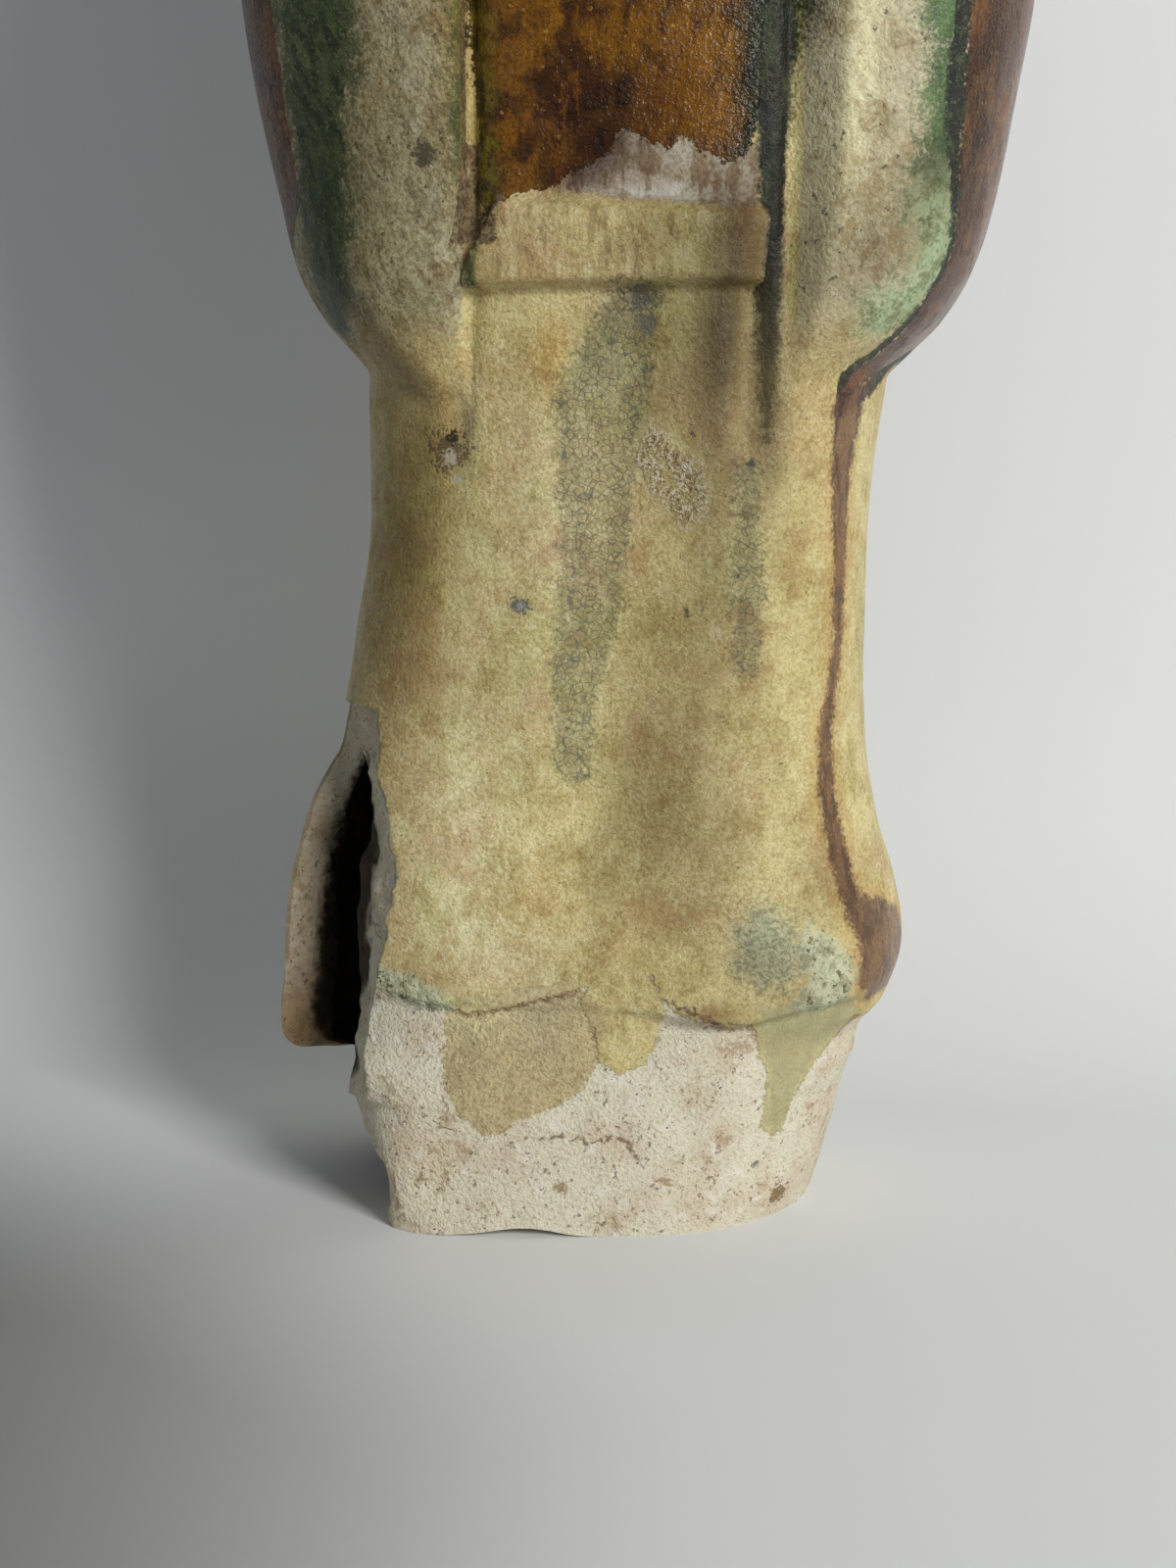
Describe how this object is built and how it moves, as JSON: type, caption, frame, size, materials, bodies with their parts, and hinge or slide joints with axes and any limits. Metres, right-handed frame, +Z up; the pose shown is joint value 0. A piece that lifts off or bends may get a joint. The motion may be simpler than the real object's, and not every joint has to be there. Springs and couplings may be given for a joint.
{
  "type": "sancai tomb figure",
  "caption": "Hollow moulded tomb figure of a standing official with long sleeves, in amber, green and cream glaze over pale clay, broken open at its lower left side.",
  "frame": {"origin": "on the floor, under the middle of the figure's outer box", "axes": "+Z up, the figure faces -Y, +X is to the right of someone looking at its face"},
  "size_m": [0.1772, 0.1234, 0.575],
  "materials": {
    "glazed_clay": "semi-gloss lead glaze, crackled and worn, over unglazed pale clay"
  },
  "bodies": {
    "root": {"sancai_figure": "glazed_clay"}
  },
  "joints": []
}
